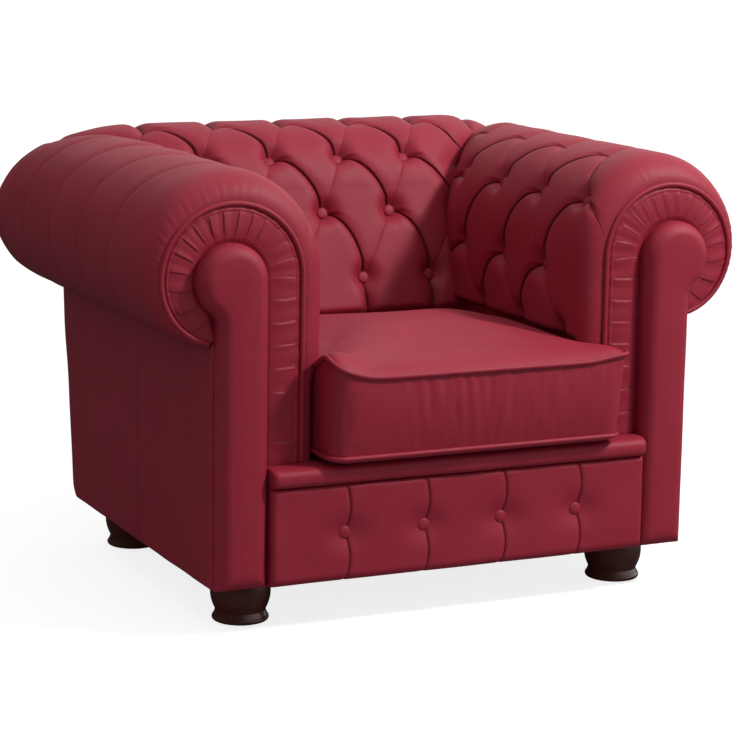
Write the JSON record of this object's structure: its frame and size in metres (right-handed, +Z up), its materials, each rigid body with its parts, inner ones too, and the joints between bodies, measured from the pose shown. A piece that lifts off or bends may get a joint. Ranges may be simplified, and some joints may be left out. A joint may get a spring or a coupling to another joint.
{
  "type": "armchair",
  "caption": "Deep-buttoned leather club armchair with rolled arms and back, pleated scroll fronts, loose seat cushion and turned wooden feet.",
  "frame": {"origin": "on the floor, below the centre of the chair's bounding box", "axes": "+X to the viewer's right when facing the front, +Y to the back, +Z up; the front faces -Y"},
  "size_m": [1.1, 0.9099, 0.7516],
  "materials": {
    "leather": "soft semi-gloss deep red",
    "foot_wood": "dark stained, semi-gloss varnish",
    "frame_wood": "bare hardwood",
    "plywood": "bare plywood",
    "foam": "soft open foam",
    "lining": "matte woven lining",
    "webbing": "matte woven webbing",
    "steel": "bright zinc",
    "glide_plastic": "matte"
  },
  "bodies": {
    "chair": {"back_buttons": "leather", "back_cover": "leather", "back_foam": "foam", "back_tack_rail": "frame_wood", "back_top_rail": "frame_wood", "back_webbing": "webbing", "corner_blocks": "frame_wood", "deck_cloth": "lining", "dust_cover": "lining", "foot_bolts": "steel", "foot_glides": "glide_plastic", "front_left_foot": "foot_wood", "front_lip": "leather", "front_panel": "leather", "front_panel_buttons": "leather", "front_rail": "frame_wood", "front_right_foot": "foot_wood", "left_arm_buttons": "leather", "left_arm_cover": "leather", "left_arm_foam": "foam", "left_arm_front_board": "plywood", "left_arm_rear_post": "frame_wood", "left_arm_tack_rail": "frame_wood", "left_arm_top_rail": "frame_wood", "left_arm_webbing": "webbing", "left_back_side_board": "plywood", "left_facing_pad": "leather", "left_facing_welt": "leather", "left_outside_arm_panel": "leather", "left_pleated_border": "leather", "left_side_rail": "frame_wood", "outside_back_panel": "leather", "rear_left_foot": "foot_wood", "rear_rail": "frame_wood", "rear_right_foot": "foot_wood", "right_arm_buttons": "leather", "right_arm_cover": "leather", "right_arm_foam": "foam", "right_arm_front_board": "plywood", "right_arm_rear_post": "frame_wood", "right_arm_tack_rail": "frame_wood", "right_arm_top_rail": "frame_wood", "right_arm_webbing": "webbing", "right_back_side_board": "plywood", "right_facing_pad": "leather", "right_facing_welt": "leather", "right_outside_arm_panel": "leather", "right_pleated_border": "leather", "right_side_rail": "frame_wood", "seat_deck_pad": "foam", "seat_springs": "steel", "spring_clips": "steel", "tee_nuts": "steel"},
    "cushion": {"cushion_bottom_welt": "leather", "cushion_core": "foam", "cushion_cover": "leather", "cushion_top_welt": "leather"}
  },
  "joints": [
    {"name": "cushion_pull", "type": "slide", "parent": "chair", "child": "cushion", "axis": [0, -1, 0], "range_m": [0, 0.56]}
  ]
}
